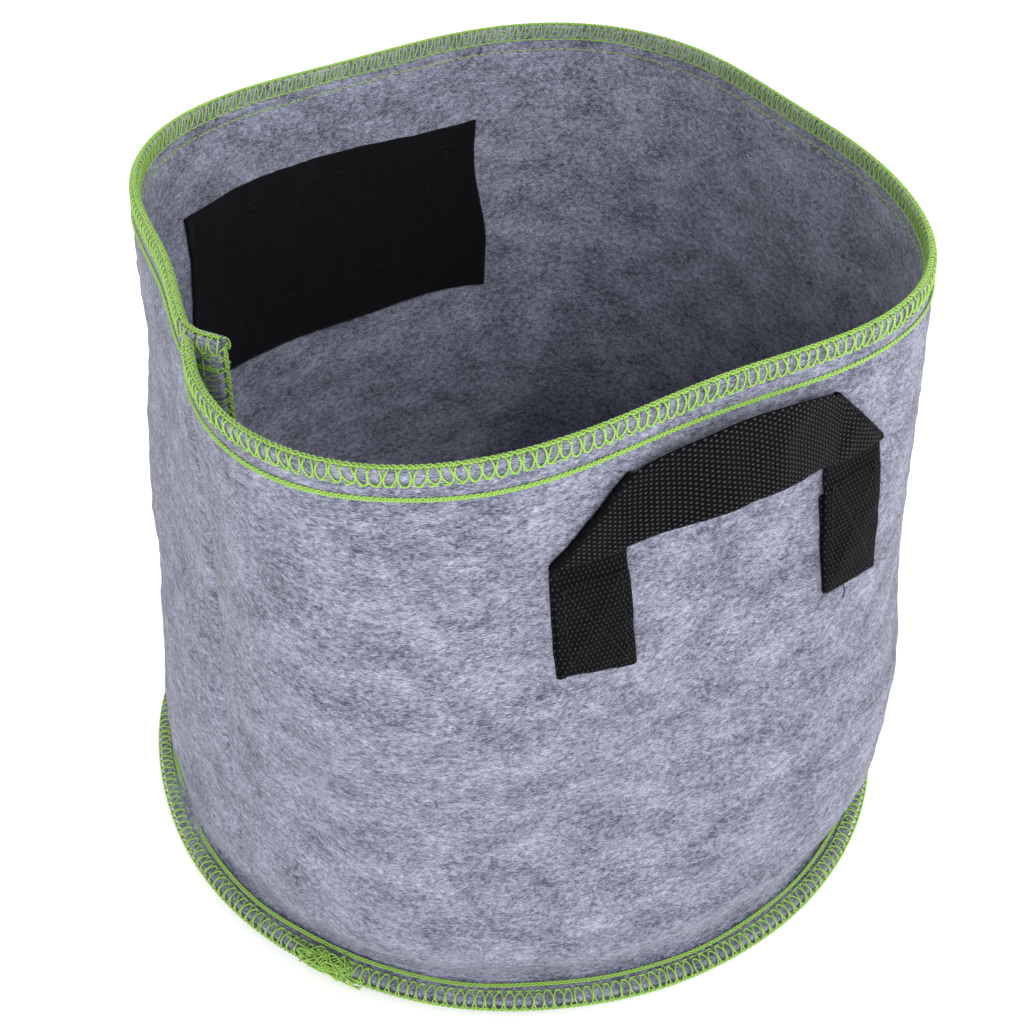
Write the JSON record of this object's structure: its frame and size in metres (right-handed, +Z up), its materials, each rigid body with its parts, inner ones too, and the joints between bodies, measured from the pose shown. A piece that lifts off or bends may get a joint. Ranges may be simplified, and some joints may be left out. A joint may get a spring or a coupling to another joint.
{
  "type": "fabric grow bag",
  "caption": "Soft felt plant bag with a round base, overlocked green seams and sewn webbing handles that stand up beside the rim and fold outward.",
  "frame": {"origin": "centre of the round base, on the floor that the bag stands on", "axes": "+Z up, -Y towards the front handle, +Y towards the rear handle, the side seam on the -X side"},
  "size_m": [0.3152, 0.3152, 0.2508],
  "materials": {
    "grey_felt": "needle-punched heather felt",
    "black_patch": "thin nonwoven",
    "black_webbing": "woven, slight sheen",
    "black_thread": "twisted thread",
    "green_thread": "twisted thread, bright yellow-green"
  },
  "bodies": {
    "bag": {"wall_panel": "grey_felt", "base_disc": "grey_felt", "front_reinforcement_patch": "black_patch", "rear_reinforcement_patch": "black_patch", "front_handle_left_end": "black_webbing", "front_handle_right_end": "black_webbing", "rear_handle_left_end": "black_webbing", "rear_handle_right_end": "black_webbing", "front_handle_left_box_stitching": "black_thread", "front_handle_right_box_stitching": "black_thread", "rear_handle_left_box_stitching": "black_thread", "rear_handle_right_box_stitching": "black_thread", "front_handle_thread_tail": "black_thread", "rim_overlock_upper_looper_thread": "green_thread", "rim_overlock_lower_looper_thread": "green_thread", "rim_overlock_needle_thread": "green_thread", "rim_chain_looper_thread": "green_thread", "rim_chain_needle_thread": "green_thread", "side_seam_overlock_upper_looper_thread": "green_thread", "side_seam_overlock_lower_looper_thread": "green_thread", "side_seam_overlock_needle_thread": "green_thread", "side_seam_chain_looper_thread": "green_thread", "side_seam_chain_needle_thread": "green_thread", "base_seam_overlock_upper_looper_thread": "green_thread", "base_seam_overlock_lower_looper_thread": "green_thread", "base_seam_overlock_needle_thread": "green_thread", "base_seam_chain_looper_thread": "green_thread", "base_seam_chain_needle_thread": "green_thread"},
    "front_handle": {"front_handle_grip": "black_webbing"},
    "rear_handle": {"rear_handle_grip": "black_webbing"}
  },
  "joints": [
    {"name": "front_handle_swing", "type": "hinge", "parent": "bag", "child": "front_handle", "pos_m": [-0.01313, -0.14141, 0.203], "axis": [1, 0.006, 0], "range_deg": [0, 80], "stiffness_Nm_per_rad": 0.02},
    {"name": "rear_handle_swing", "type": "hinge", "parent": "bag", "child": "rear_handle", "pos_m": [-0.00743, 0.13833, 0.203], "axis": [-0.9924, -0.1229, 0], "range_deg": [0, 80], "stiffness_Nm_per_rad": 0.02}
  ]
}
